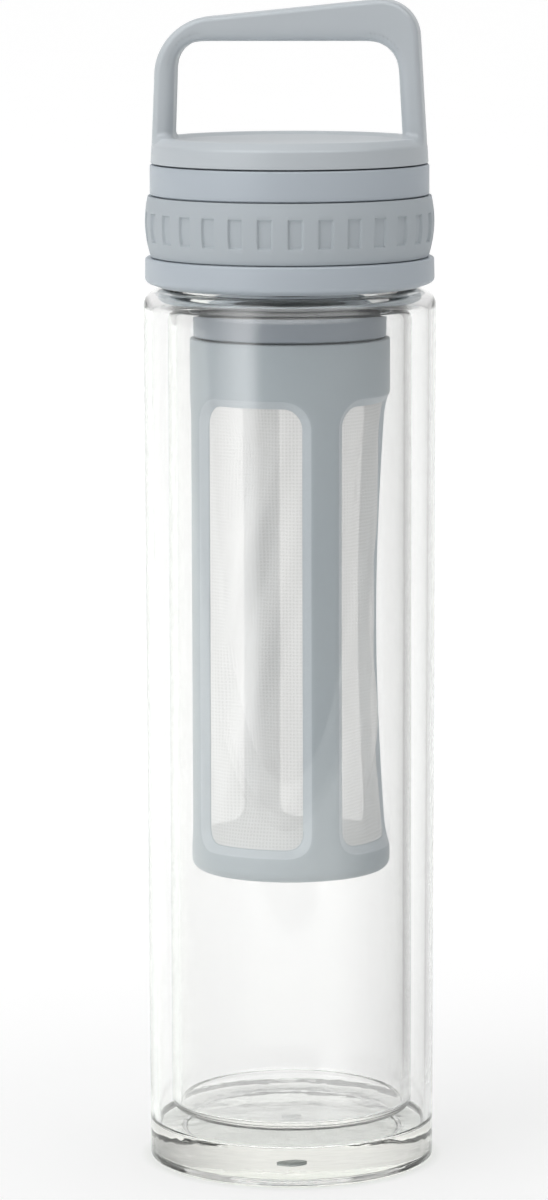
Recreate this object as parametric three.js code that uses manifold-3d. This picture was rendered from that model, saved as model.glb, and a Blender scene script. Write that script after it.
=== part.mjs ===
// Double-walled glass flask with a screw collar, a stopper cap with a carry handle, and a hanging infuser basket.
// Millimetres, +Z up, origin at the centre of the foot. X runs along the handle's bar.
import * as THREE from "three";
import { mergeVertices } from "three/addons/utils/BufferGeometryUtils.js";
import Module from "manifold-3d";

// Facets: steps round a large turning, round a small one, in half of a rounded corner, and round one thread turn
const roundSteps = 36;
const smallRoundSteps = 20;
const cornerSteps = 1;
const threadSteps = 24;

// Clearances: between pieces that are fixed together, between a seal and what presses it, and between thread crests
const fitGap = 0.3;
const sealGap = 0.15;
const threadGap = 0.4;

// Glass: outer shell with a thick foot, and the inner liner whose neck carries the thread
const glassRadius = 34;
const glassWall = 1.8;
const footThickness = 9;
const glassTaper = 0.5;
const footCorner = 1;
const footRingWidth = 7.7;
const footHollow = 0.8;
const shoulderHeight = 206;
const shoulderCorner = 5;
const vacuumGap = 3.8;
const floorGap = 3;
const linerWall = 1.8;
const linerFloor = 2;
const linerCorner = 2.5;
const neckInset = 1.4;
const neckTaper = 5;
const neckWall = 2;
const neckHeight = 12;
const lipRound = 0.8;
const portRadius = 0.8;
const portSealRadius = 2.4;
const portSealThickness = 0.8;

// Collar: lower ring, groove for the grip band, top ring, and the well that takes the cap
const skirtWall = 2.2;
const gripGroove = 1.4;
const lowerRingHeight = 7.3;
const lowerRingStep = 1.15;
const lowerRingFlare = 0.1;
const lowerRingCorner = 1.4;
const undercutWidth = 3;
const undercutHeight = 1.7;
const topRingHeight = 6.8;
const wellWall = 3.2;
const wellDepth = 12.5;
const webThickness = 2.5;
const rimGasketThickness = 1.8;

// Grip band: a silicone sleeve with moulded pads pressed in all round
const gripBulge = 1.1;
const gripPadCount = 30;
const gripPadWidth = 3.3;
const gripPadHeight = 7.2;
const gripPadDepth = 0.7;
const gripPadPhase = THREE.MathUtils.degToRad(6);

// Filter holder: a sleeve that hangs in the collar's bore by its lip
const holderWall = 1.6;
const holderDrop = 27.1;
const holderFlangeStep = 0.85;
const holderFlangeHeight = 5.5;
const sleeveInset = 1.25;
const spigotLength = 9.6;
const lipSeat = 1.4;
const lipThickness = 1.2;

// Cap: a shallow disc with a carry handle on top and a threaded stopper below
const capGap = 0.6;
const capInset = 0.2;
const capHeight = 5.7;
const capEdgeHeight = 4.1;
const capChamfer = 2.2;
const dishInset = 4.8;
const dishDepth = 0.7;
const plugWall = 2;
const plugFloor = 2;
const plugSpigotHeight = 1.8;
const plugSpigotStep = 1;
const capSealThickness = 1.5;
const capSealWidth = 3;

// Handle: two leaning legs and a bar that grows thicker to one side
const handleOpening = 22.2;
const handleDepth = 13;
const handleEdge = 2;
const handleInset = 0.2;
const legThickness = 4.6;
const thinLegLean = 1.3;
const thickLegLean = 2.1;
const barThin = 4.4;
const barThick = 10.4;
const thinCorner = 13.5;
const thickCorner = 8.8;
const thinInnerCorner = 6;
const thickInnerCorner = 6.8;

// Basket: a moulded frame with four meshed windows and a meshed floor
const basketClearance = 1.7;
const basketWall = 1.9;
const basketLength = 125.1;
const basketCorner = 2.5;
const basketFloor = 2;
const floorMeshRadius = 15;
const windowCount = 4;
const windowTopBand = 14.8;
const windowFootBand = 9.2;
const windowCorner = 4.8;
const windowBevel = 2.3;
const windowBevelDepth = 1.1;
const pillarWidth = 5.7;
const firstPillar = THREE.MathUtils.degToRad(23.7);
const meshThickness = 0.5;
const meshSag = 1.5;

// Threads: pitch, turns, ridge height and the ridge's width at its root and crest
const lidThread = { pitch: 4, turns: 1.25, height: 1.4, root: 2, crest: 1 };
const basketThread = { pitch: 3, turns: 1.25, height: 1, root: 1.3, crest: 0.6 };

// Radii, from the glass inwards and from the neck outwards
const shellBore = glassRadius - glassWall;
const linerRadius = shellBore - vacuumGap;
const linerBore = linerRadius - linerWall;
const neckRadius = linerRadius - neckInset;
const mouthRadius = neckRadius - neckWall;
const skirtBore = neckRadius + lidThread.height + threadGap;
const collarRadius = skirtBore + skirtWall + gripGroove;
const gripSeat = collarRadius - gripGroove;
const wellRadius = collarRadius - wellWall;
const plugRadius = wellRadius - lidThread.height - threadGap;
const capRadius = collarRadius - capInset;
const basketRadius = mouthRadius - basketClearance;
const basketBore = basketRadius - basketWall;
const spigotRadius = basketBore - basketThread.height - threadGap;
const holderBore = spigotRadius - holderWall;
const flangeRadius = basketRadius - holderFlangeStep;
const webBore = flangeRadius + fitGap;
const lipRadius = webBore + lipSeat;
const clearOfBasket = basketRadius / Math.cos(Math.PI / windowCount) + windowBevel;

// Heights, stacked from the foot upwards
const linerBottom = footThickness + floorGap;
const rimHeight = shoulderHeight + neckHeight;
const collarBottom = shoulderHeight + fitGap;
const webBottom = rimHeight + rimGasketThickness + sealGap;
const wellFloor = webBottom + webThickness;
const collarTop = wellFloor + wellDepth;
const grooveBottom = collarBottom + lowerRingHeight;
const grooveTop = collarTop - topRingHeight;
const lipTop = wellFloor + lipThickness;
const flangeBottom = wellFloor - holderDrop;
const capBottom = collarTop + capGap;
const plugBottom = lipTop + capSealThickness + sealGap;
const basketTop = flangeBottom - fitGap;

// The lowest ridge on the glass neck, on the cap's plug and on the holder's spigot
const neckThreadStart = collarBottom + mateOffset(lidThread) + lidThread.root / 2 + fitGap;
const plugThreadStart = plugBottom + lidThread.root / 2 + fitGap;
const spigotThreadStart = flangeBottom - spigotLength + basketThread.root / 2 + fitGap;

const wasm = await Module();
wasm.setup();

// A closed geometry as a solid that can be joined and cut
function solidOf(geometry) {
  const loose = geometry.index ? geometry.toNonIndexed() : geometry;
  const bare = new THREE.BufferGeometry().setAttribute("position", loose.getAttribute("position"));
  const merged = mergeVertices(bare, 1e-4);
  return new wasm.Manifold(
    new wasm.Mesh({
      numProp: 3,
      vertProperties: merged.attributes.position.array,
      triVerts: new Uint32Array(merged.index.array),
    }),
  );
}

// A solid back as a geometry with flat facets
function geometryOf(solid) {
  const made = solid.getMesh();
  const geometry = new THREE.BufferGeometry();
  geometry.setAttribute("position", new THREE.BufferAttribute(made.vertProperties, made.numProp));
  geometry.setIndex(new THREE.BufferAttribute(made.triVerts, 1));
  const flat = geometry.toNonIndexed();
  flat.computeVertexNormals();
  return flat;
}

// An outline through corner points [x, y, radius], each corner rounded by an arc of its radius; the first is sharp
function roundedOutline(corners) {
  const outline = new THREE.Shape();
  outline.moveTo(corners[0][0], corners[0][1]);
  corners.forEach(([x, y, radius = 0], i) => {
    if (i === 0) return;
    const corner = new THREE.Vector2(x, y);
    if (radius === 0) {
      outline.lineTo(x, y);
      return;
    }
    const before = new THREE.Vector2().fromArray(corners[i - 1]);
    const after = new THREE.Vector2().fromArray(corners[(i + 1) % corners.length]);
    const along = corner.clone().sub(before).normalize();
    const onward = after.sub(corner).normalize();
    const turn = Math.atan2(along.cross(onward), along.dot(onward));
    const side = Math.sign(turn);
    const tangent = radius * Math.tan(Math.abs(turn) / 2);
    const start = corner.clone().addScaledVector(along, -tangent);
    const across = new THREE.Vector2(-along.y, along.x).multiplyScalar(side);
    const centre = start.clone().addScaledVector(across, radius);
    const from = Math.atan2(start.y - centre.y, start.x - centre.x);
    outline.lineTo(start.x, start.y);
    outline.absarc(centre.x, centre.y, radius, from, from + turn, side < 0);
  });
  return outline;
}

// A piece turned round Z from corner points [radius, height, rounding], listed anticlockwise.
// A profile that starts off the axis is a ring, and closes on its first point.
function turned(corners, steps = roundSteps) {
  const outline = roundedOutline(corners);
  if (corners[0][0] > 0) outline.lineTo(corners[0][0], corners[0][1]);
  const lathe = new THREE.LatheGeometry(outline.getPoints(cornerSteps), steps);
  return lathe.rotateX(Math.PI / 2);
}

// A thread ridge: a trapezoid swept up a right-hand helix, low at both ends.
// Side is 1 where it stands out from a shaft, and -1 where it stands in from a bore.
// It starts a quarter of a facet round, so that none of its sections lies along an edge of the wall.
function threadRidge(thread, wallRadius, side, startHeight) {
  const sunk = 0.4;
  const leadTurns = 0.08;
  const lowEnd = 0.3;
  const steps = Math.round(threadSteps * thread.turns);
  const slope = (thread.root - thread.crest) / 2 / thread.height;
  const positions = [];
  for (let i = 0; i <= steps; i++) {
    const turns = (thread.turns * i) / steps;
    const lead = Math.min(turns, thread.turns - turns, leadTurns) / leadTurns;
    const height = thread.height * THREE.MathUtils.lerp(lowEnd, 1, lead);
    const angle = 2 * Math.PI * (turns + 0.25 / roundSteps);
    const middle = startHeight + thread.pitch * turns;
    const rootRadius = wallRadius - side * sunk;
    const crestRadius = wallRadius + side * height;
    const rootHalf = thread.root / 2 + slope * sunk;
    const crestHalf = thread.root / 2 - slope * height;
    const section = [
      [rootRadius, middle - rootHalf],
      [crestRadius, middle - crestHalf],
      [crestRadius, middle + crestHalf],
      [rootRadius, middle + rootHalf],
    ];
    for (const [r, z] of section) positions.push(r * Math.cos(angle), r * Math.sin(angle), z);
  }
  const faces = [];
  for (let i = 0; i < steps; i++) {
    for (let k = 0; k < 4; k++) {
      const [a, b] = [4 * i + k, 4 * i + ((k + 1) % 4)];
      faces.push(a, a + 4, b, b, a + 4, b + 4);
    }
  }
  const last = 4 * steps;
  faces.push(0, 1, 2, 0, 2, 3, last, last + 2, last + 1, last, last + 3, last + 2);
  if (side < 0) faces.reverse();
  const ridge = new THREE.BufferGeometry();
  ridge.setAttribute("position", new THREE.Float32BufferAttribute(positions, 3));
  ridge.setIndex(faces);
  return ridge;
}

// How far along the axis a ridge lies from its mate, so that their flanks stay a fit gap apart
function mateOffset(thread) {
  const slope = (thread.root - thread.crest) / 2 / thread.height;
  return thread.root - slope * (thread.height + threadGap) + fitGap;
}

// A plug through the basket's wall: outlines of [angle, height] points wrapped round the axis, one for each radius.
// Each end is closed by a fan from the middle of its outline.
function wrappedLoft(layers) {
  const count = layers[0].outline.length;
  const last = layers.length - 1;
  const positions = [];
  const place = (radius, { x, y }) => positions.push(radius * Math.cos(x), radius * Math.sin(x), y);
  for (const { radius, outline } of layers) outline.forEach((point) => place(radius, point));
  for (const { radius, outline } of [layers[0], layers[last]]) {
    place(radius, new THREE.Box2().setFromPoints(outline).getCenter(new THREE.Vector2()));
  }
  const faces = [];
  const innerMiddle = layers.length * count;
  const outerMiddle = innerMiddle + 1;
  for (let i = 0; i < count; i++) {
    const next = (i + 1) % count;
    for (let layer = 0; layer < last; layer++) {
      const [a, b] = [layer * count + i, layer * count + next];
      faces.push(a, b, a + count, b, b + count, a + count);
    }
    faces.push(innerMiddle, next, i, outerMiddle, last * count + i, last * count + next);
  }
  const loft = new THREE.BufferGeometry();
  loft.setAttribute("position", new THREE.Float32BufferAttribute(positions, 3));
  loft.setIndex(faces);
  return loft;
}

// A window's outline on the basket's face, grown or shrunk all round by a margin, as [angle, height] points
function windowOutline(margin) {
  const straightSteps = 4;
  const halfPitch = Math.PI / windowCount;
  const halfWidth = basketRadius * halfPitch - pillarWidth / 2 - windowBevel + margin;
  const top = -windowTopBand + margin;
  const bottom = windowFootBand - basketLength - margin;
  const corner = windowCorner + margin;
  const reach = halfWidth - corner;
  const corners = [[-reach, bottom]];
  for (let i = 1; i < straightSteps; i++) corners.push([reach * ((2 * i) / straightSteps - 1), bottom]);
  corners.push([halfWidth, bottom, corner], [halfWidth, top, corner]);
  for (let i = 1; i < straightSteps; i++) corners.push([reach * (1 - (2 * i) / straightSteps), top]);
  corners.push([-halfWidth, top, corner], [-halfWidth, bottom, corner]);
  const loop = roundedOutline(corners).getPoints(cornerSteps);
  const points = loop.filter((point, i) => point.distanceTo(loop[(i + 1) % loop.length]) > 1e-6);
  return points.map(({ x, y }) => new THREE.Vector2(x / basketRadius, y));
}

const materials = {
  glass: new THREE.MeshStandardMaterial({
    color: 0xe9f1ee, roughness: 0.05, metalness: 0, transparent: true, opacity: 0.3,
  }),
  lidPlastic: new THREE.MeshStandardMaterial({ color: 0xb2bac2, roughness: 0.38, metalness: 0 }),
  frameResin: new THREE.MeshStandardMaterial({ color: 0xafb7ba, roughness: 0.5, metalness: 0 }),
  gripSilicone: new THREE.MeshStandardMaterial({ color: 0xb0b7ba, roughness: 0.62, metalness: 0 }),
  sealSilicone: new THREE.MeshStandardMaterial({ color: 0xdfe2e2, roughness: 0.55, metalness: 0 }),
  portSeal: new THREE.MeshStandardMaterial({ color: 0x8d9292, roughness: 0.6, metalness: 0 }),
  filterMesh: new THREE.MeshStandardMaterial({ color: 0xf1f1ee, roughness: 0.7, metalness: 0 }),
};

function piece(name, geometry, material) {
  const mesh = new THREE.Mesh(geometry, material);
  mesh.name = name;
  return mesh;
}

function outerGlassShell() {
  const seatRadius = portSealRadius + fitGap;
  const seatTop = footHollow + portSealThickness;
  const hollowRadius = glassRadius - footRingWidth;
  const seamRadius = neckRadius + fitGap;
  const under = shoulderHeight - glassWall;
  return turned([
    [portRadius, seatTop],
    [seatRadius, seatTop],
    [seatRadius, footHollow],
    [hollowRadius - footHollow, footHollow],
    [hollowRadius, 0],
    [glassRadius - glassTaper, 0, footCorner],
    [glassRadius, shoulderHeight, shoulderCorner],
    [seamRadius, shoulderHeight],
    [seamRadius, under],
    [shellBore, under, shoulderCorner - glassWall],
    [shellBore - glassTaper, footThickness],
    [portRadius, footThickness],
  ]);
}

function innerGlassLiner() {
  const taperTop = shoulderHeight - glassWall;
  const taperBottom = taperTop - neckTaper;
  const wall = turned([
    [0, linerBottom],
    [linerRadius, linerBottom, linerCorner],
    [linerRadius, taperBottom],
    [neckRadius, taperTop],
    [neckRadius, rimHeight, lipRound],
    [mouthRadius, rimHeight, lipRound],
    [mouthRadius, taperTop],
    [linerBore, taperBottom],
    [linerBore, linerBottom + linerFloor, linerCorner - linerWall],
    [0, linerBottom + linerFloor],
  ]);
  const ridge = threadRidge(lidThread, neckRadius, 1, neckThreadStart);
  return geometryOf(solidOf(wall).add(solidOf(ridge)));
}

function portSealDisc() {
  return turned(
    [
      [0, 0],
      [portSealRadius, 0],
      [portSealRadius, portSealThickness],
      [0, portSealThickness],
    ],
    smallRoundSteps,
  );
}

// A flat sealing washer with its underside at zero
function washer(innerRadius, outerRadius, thickness) {
  return turned([
    [innerRadius, 0],
    [outerRadius, 0],
    [outerRadius, thickness],
    [innerRadius, thickness],
  ]);
}

// The collar's own zero is its underside
function collarBody() {
  const floor = wellFloor - collarBottom;
  const web = webBottom - collarBottom;
  const lowerRadius = collarRadius + lowerRingStep;
  const wall = turned([
    [skirtBore, 0],
    [lowerRadius + lowerRingFlare - undercutWidth, 0],
    [lowerRadius + lowerRingFlare, undercutHeight, lowerRingCorner],
    [lowerRadius, grooveBottom - collarBottom],
    [gripSeat, grooveBottom - collarBottom],
    [gripSeat, grooveTop - collarBottom],
    [collarRadius, grooveTop - collarBottom],
    [collarRadius, collarTop - collarBottom],
    [wellRadius, collarTop - collarBottom],
    [wellRadius, floor],
    [webBore, floor],
    [webBore, web],
    [skirtBore, web],
  ]);
  const neckRidge = threadRidge(lidThread, skirtBore, -1, neckThreadStart - mateOffset(lidThread) - collarBottom);
  const wellRidge = threadRidge(lidThread, wellRadius, -1, plugThreadStart + mateOffset(lidThread) - collarBottom);
  return geometryOf(solidOf(wall).add(solidOf(neckRidge)).add(solidOf(wellRidge)));
}

// The grip band's own zero is the middle of its height
function gripBand() {
  const half = (grooveTop - grooveBottom) / 2 - fitGap;
  const bore = gripSeat + fitGap;
  const bulgeSteps = 4;
  const profile = [[bore, -half]];
  for (let i = 0; i <= bulgeSteps; i++) {
    const share = (2 * i) / bulgeSteps - 1;
    profile.push([collarRadius + gripBulge * (1 - share * share), share * half]);
  }
  profile.push([bore, half]);
  const padFloor = collarRadius + gripBulge - gripPadDepth;
  const padPitch = (2 * Math.PI) / gripPadCount;
  let band = solidOf(turned(profile, gripPadCount).rotateZ(gripPadPhase - padPitch / 2));
  for (let i = 0; i < gripPadCount; i++) {
    const pad = new THREE.BoxGeometry(gripPadWidth, 2 * gripPadDepth, gripPadHeight);
    pad.translate(0, -padFloor - gripPadDepth, 0);
    pad.rotateZ(gripPadPhase + padPitch * i);
    band = band.subtract(solidOf(pad));
  }
  return geometryOf(band);
}

// The holder's own zero is the face of its flange that the basket meets
function filterHolder() {
  const lip = wellFloor - flangeBottom;
  const sleeveRadius = flangeRadius - sleeveInset;
  const snugBottom = webBottom - flangeBottom - fitGap;
  const wall = turned([
    [holderBore, -spigotLength],
    [spigotRadius, -spigotLength],
    [spigotRadius, 0],
    [flangeRadius, 0],
    [flangeRadius, holderFlangeHeight],
    [sleeveRadius, holderFlangeHeight + sleeveInset],
    [sleeveRadius, snugBottom - sleeveInset],
    [flangeRadius, snugBottom],
    [flangeRadius, lip],
    [lipRadius, lip],
    [lipRadius, lip + lipThickness],
    [holderBore, lip + lipThickness],
  ]);
  const ridge = threadRidge(basketThread, spigotRadius, 1, spigotThreadStart - flangeBottom);
  return geometryOf(solidOf(wall).add(solidOf(ridge)));
}

// The cap's own zero is its underside
function capWithHandle() {
  const recessRadius = plugRadius - plugSpigotStep + fitGap;
  const recessTop = plugSpigotHeight + fitGap;
  const dishRadius = capRadius - dishInset;
  const disc = turned([
    [0, recessTop],
    [recessRadius, recessTop],
    [recessRadius, 0],
    [capRadius, 0],
    [capRadius, capEdgeHeight, capChamfer / 2],
    [capRadius - capChamfer, capHeight, capChamfer / 2],
    [dishRadius, capHeight],
    [dishRadius - 2 * dishDepth, capHeight - dishDepth],
    [0, capHeight - dishDepth],
  ]);
  const foot = capEdgeHeight - capChamfer;
  const under = capHeight + handleOpening;
  const footRadius = capRadius - handleInset;
  const thinTop = footRadius - thinLegLean;
  const thickTop = footRadius - thickLegLean;
  const arch = roundedOutline([
    [-footRadius, foot],
    [-(footRadius - legThickness), foot],
    [-(thinTop - legThickness), under, thinInnerCorner],
    [thickTop - legThickness, under, thickInnerCorner],
    [footRadius - legThickness, foot],
    [footRadius, foot],
    [thickTop, under + barThick, thickCorner],
    [-thinTop, under + barThin, thinCorner],
  ]);
  const handle = new THREE.ExtrudeGeometry(arch, {
    depth: handleDepth - 2 * handleEdge,
    curveSegments: 5,
    bevelThickness: handleEdge,
    bevelSize: handleEdge,
    bevelOffset: -handleEdge,
    bevelSegments: 2,
  });
  handle.rotateX(Math.PI / 2).translate(0, handleDepth / 2 - handleEdge, 0);
  const reach = under + barThick;
  const trim = new THREE.CylinderGeometry(footRadius, footRadius, 2 * reach, roundSteps).rotateX(Math.PI / 2);
  return geometryOf(solidOf(disc).add(solidOf(handle).intersect(solidOf(trim))));
}

// The plug's own zero is the shoulder that meets the cap's underside
function capPlug() {
  const bottom = plugBottom - capBottom;
  const spigot = plugRadius - plugSpigotStep;
  const wall = turned([
    [0, bottom],
    [plugRadius, bottom],
    [plugRadius, 0],
    [spigot, 0],
    [spigot, plugSpigotHeight],
    [spigot - plugWall, plugSpigotHeight],
    [spigot - plugWall, bottom + plugFloor],
    [0, bottom + plugFloor],
  ]);
  const ridge = threadRidge(lidThread, plugRadius, 1, plugThreadStart - capBottom);
  return geometryOf(solidOf(wall).add(solidOf(ridge)));
}

// The basket's own zero is its top edge, and its first window faces +X
function basketFrame() {
  const bottom = -basketLength;
  const wall = turned([
    [floorMeshRadius, bottom],
    [basketRadius, bottom, basketCorner],
    [basketRadius, 0],
    [basketBore, 0],
    [basketBore, bottom + basketFloor],
    [floorMeshRadius, bottom + basketFloor],
  ]);
  const ridgeStart = spigotThreadStart + mateOffset(basketThread) - basketTop;
  let frame = solidOf(wall).add(solidOf(threadRidge(basketThread, basketBore, -1, ridgeStart)));
  const opening = windowOutline(0);
  const overshoot = 1.5;
  const bevelled = windowOutline(windowBevel * overshoot);
  const bevelBottom = basketRadius - windowBevelDepth;
  const cutter = solidOf(
    wrappedLoft([
      { radius: basketBore - windowBevel, outline: opening },
      { radius: bevelBottom, outline: opening },
      { radius: bevelBottom + windowBevelDepth * overshoot, outline: bevelled },
      { radius: clearOfBasket, outline: bevelled },
    ]),
  );
  for (let i = 0; i < windowCount; i++) frame = frame.subtract(cutter.rotate(0, 0, (360 * i) / windowCount));
  return geometryOf(frame);
}

// A mesh panel in the window that faces +X: a thin sheet that fits the opening and sags inwards at its middle
function meshPanel() {
  const sheetSteps = 4;
  const middle = (basketBore + basketRadius - windowBevelDepth) / 2;
  const width = (2 * Math.PI * basketRadius) / windowCount - pillarWidth;
  const height = basketLength - windowTopBand - windowFootBand + windowBevel;
  const centre = (windowFootBand - windowTopBand - basketLength) / 2;
  const sheet = new THREE.BoxGeometry(width, height, meshThickness, sheetSteps, sheetSteps, 1);
  const places = sheet.getAttribute("position");
  for (let i = 0; i < places.count; i++) {
    const across = places.getX(i) / (width / 2);
    const up = places.getY(i) / (height / 2);
    const sag = meshSag * (1 - across * across) * (1 - up * up);
    const radius = middle + places.getZ(i) - sag;
    const angle = places.getX(i) / basketRadius;
    places.setXYZ(i, radius * Math.cos(angle), radius * Math.sin(angle), centre + places.getY(i));
  }
  const opening = windowOutline(-fitGap);
  const bounds = wrappedLoft([
    { radius: basketBore - windowBevel - meshSag, outline: opening },
    { radius: basketRadius, outline: opening },
    { radius: clearOfBasket, outline: opening },
  ]);
  return geometryOf(solidOf(sheet).intersect(solidOf(bounds)));
}

const flask = new THREE.Group();
const glassBody = new THREE.Group();
const portSeal = piece("port_seal_disc", portSealDisc(), materials.portSeal);
portSeal.position.z = footHollow - fitGap;
glassBody.add(
  piece("outer_glass_shell", outerGlassShell(), materials.glass),
  piece("inner_glass_liner", innerGlassLiner(), materials.glass),
  portSeal,
);

const collar = new THREE.Group();
collar.position.z = collarBottom;
const gasketRadius = skirtBore - fitGap;
const rimGasket = piece(
  "rim_gasket",
  washer(mouthRadius, gasketRadius, rimGasketThickness),
  materials.sealSilicone,
);
rimGasket.position.z = rimHeight - collarBottom;
const grip = piece("grip_band", gripBand(), materials.gripSilicone);
grip.position.z = (grooveBottom + grooveTop) / 2 - collarBottom;
const holder = piece("filter_holder", filterHolder(), materials.lidPlastic);
holder.position.z = flangeBottom - collarBottom;
collar.add(piece("collar_body", collarBody(), materials.lidPlastic), rimGasket, grip, holder);

const cap = new THREE.Group();
cap.position.z = capBottom;
const capSeal = piece(
  "cap_seal_ring",
  washer(lipRadius - capSealWidth, lipRadius, capSealThickness),
  materials.sealSilicone,
);
capSeal.position.z = lipTop - capBottom;
cap.add(
  piece("cap_with_handle", capWithHandle(), materials.lidPlastic),
  piece("cap_plug", capPlug(), materials.lidPlastic),
  capSeal,
);

const basket = new THREE.Group();
basket.position.z = basketTop;
basket.rotation.z = firstPillar - Math.PI / 2 - Math.PI / windowCount;
const floorMesh = piece(
  "floor_mesh",
  turned([
    [0, 0],
    [floorMeshRadius - fitGap, 0],
    [floorMeshRadius - fitGap, meshThickness],
    [0, meshThickness],
  ], smallRoundSteps),
  materials.filterMesh,
);
floorMesh.position.z = (basketFloor - meshThickness) / 2 - basketLength;
basket.add(piece("basket_frame", basketFrame(), materials.frameResin), floorMesh);
for (let i = 0; i < windowCount; i++) {
  const panel = piece(`mesh_panel_${i + 1}`, meshPanel(), materials.filterMesh);
  panel.rotation.z = (2 * Math.PI * i) / windowCount;
  basket.add(panel);
}

flask.add(glassBody, collar, cap, basket);

export default flask;
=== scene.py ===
import math

import bmesh
import bpy
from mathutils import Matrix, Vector


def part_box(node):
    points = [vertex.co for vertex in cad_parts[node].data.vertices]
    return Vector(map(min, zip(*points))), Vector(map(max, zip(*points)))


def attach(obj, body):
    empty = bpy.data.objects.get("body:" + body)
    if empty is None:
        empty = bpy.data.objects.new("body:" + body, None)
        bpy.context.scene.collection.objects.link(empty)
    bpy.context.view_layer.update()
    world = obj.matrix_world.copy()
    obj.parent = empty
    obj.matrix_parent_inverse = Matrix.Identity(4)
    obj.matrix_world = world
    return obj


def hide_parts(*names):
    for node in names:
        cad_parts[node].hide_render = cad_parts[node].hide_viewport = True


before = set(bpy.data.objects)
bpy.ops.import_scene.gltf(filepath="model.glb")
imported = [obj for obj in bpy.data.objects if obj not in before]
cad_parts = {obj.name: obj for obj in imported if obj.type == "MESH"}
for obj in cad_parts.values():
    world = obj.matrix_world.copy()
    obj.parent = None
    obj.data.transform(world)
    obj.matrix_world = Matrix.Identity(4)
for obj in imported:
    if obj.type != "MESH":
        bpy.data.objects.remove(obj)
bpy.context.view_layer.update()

# All sizes below are in millimetres, and are turned to metres where a mesh is made
MM = 0.001


def bottom_of(node):
    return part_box(node)[0].z / MM


def top_of(node):
    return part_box(node)[1].z / MM


def radius_of(node):
    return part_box(node)[1].x / MM


# Fineness of the turned pieces
ROUND_SIDES = 160
GLASS_SIDES = 192
ARC_STEPS = 6
FIT_GAP = 0.3

# Glass
GLASS_RADIUS = radius_of("outer_glass_shell")
SHOULDER_TOP = top_of("outer_glass_shell")
LINER_BOTTOM = bottom_of("inner_glass_liner")
RIM_TOP = top_of("inner_glass_liner")
GLASS_WALL = 1.8
FOOT_THICKNESS = 9
GLASS_TAPER = 0.5
FOOT_CORNER = 1
FOOT_TOP_CORNER = 1.2
FOOT_RING_WIDTH = 7.7
FOOT_HOLLOW = 0.8
SHOULDER_CORNER = 3.5
HOLLOW_CORNER = 2.5
SHOULDER_DROP = 0.7
SHOULDER_RISE = 0.9
LINER_RADIUS = 28.4
LINER_FLOOR = 2
LINER_CORNER = 2.5
NECK_RADIUS = 27
NECK_WALL = 2
NECK_TAPER = 5
PORT_SEAL_RADIUS = radius_of("port_seal_disc")
SEAL_BITE = 0.08

# Lid
COLLAR_BOTTOM = bottom_of("collar_body")
COLLAR_TOP = top_of("collar_body")
COLLAR_RADIUS = 32.4
SKIRT_BORE = 28.8
LOWER_RING_HEIGHT = 7.3
LOWER_RING_TOP_RADIUS = 33.55
LOWER_RING_FOOT_RADIUS = 33.65
UNDERCUT_WIDTH = 3
UNDERCUT_HEIGHT = 1.7
SKIRT_LIFT = 0.6
TOP_RING_HEIGHT = 6.8
GRIP_SEAT = 31.0
WELL_RADIUS = 29.2
WELL_DEPTH = 12.5
WEB_THICKNESS = 2.5
WEB_BORE = 22.75
WEB_TOP = COLLAR_TOP - WELL_DEPTH
WEB_LOW = WEB_TOP - WEB_THICKNESS
GRIP_EDGE_RADIUS = 32.6
GRIP_EDGE_TAPER = -0.3
GRIP_BULGE = 0.95
GRIP_PADS = 30
GRIP_PAD_HEIGHT = 6.9
GRIP_PAD_DEPTH = 0.62
GRIP_PAD_PHASE = math.radians(6)
GRIP_PAD_SIDES = 16
GRIP_EDGE_SHARES = (0.65, 0.8, 0.9, 0.96, 0.99)
# The steps down into a pad: width and depth of each
GRIP_PAD_STEPS = ((0.05, -0.03), (0.16, 0.1 - GRIP_PAD_DEPTH), (0.1, -0.07))

# Filter holder
HOLDER_BOTTOM = bottom_of("filter_holder")
HOLDER_TOP = top_of("filter_holder")
HOLDER_LIP_RADIUS = radius_of("filter_holder")
HOLDER_BORE = 18.4
SPIGOT_RADIUS = 20.0
SPIGOT_LENGTH = 9.6
FLANGE_RADIUS = 22.45
FLANGE_HEIGHT = 5.5
SLEEVE_RADIUS = 21.2
# How far above the flange the sleeve's painted shadow begins
SLEEVE_SHADE_EDGE = 0.25

# Cap and handle
CAP_BOTTOM = bottom_of("cap_with_handle")
CAP_RADIUS = 32.2
CAP_CLOSE_UP = 0.13
CAP_HEIGHT = 5.7
CAP_EDGE_HEIGHT = 4.1
CAP_DRAFT = 0.25
CAP_CHAMFER = 2.2
DISH_RADIUS = 27.4
DISH_DEPTH = 0.7
PLUG_BOTTOM = bottom_of("cap_plug")
PLUG_RADIUS = 27.4
PLUG_SPIGOT_RADIUS = 26.4
PLUG_SPIGOT_HEIGHT = 1.8
PLUG_WALL = 2
HANDLE_DEPTH = 13
HANDLE_OPENING = 22.2
HANDLE_FOOT_RADIUS = 32.0
THIN_TOP_RADIUS = 30.7
THICK_TOP_RADIUS = 29.9
LEG_THICKNESS = 4.6
BAR_THIN = 4.4
BAR_THICK = 10.36
HANDLE_FILLET = 1.5
HANDLE_FILLET_SPREAD = 1.5
HANDLE_INNER_ROUND = 2.8
HANDLE_OUTER_ROUND = 1.1
THIN_CORNER = 11.7
THICK_CORNER = 9.2
THIN_INNER_CORNER = 5.7
THICK_INNER_CORNER = 6.3

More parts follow.
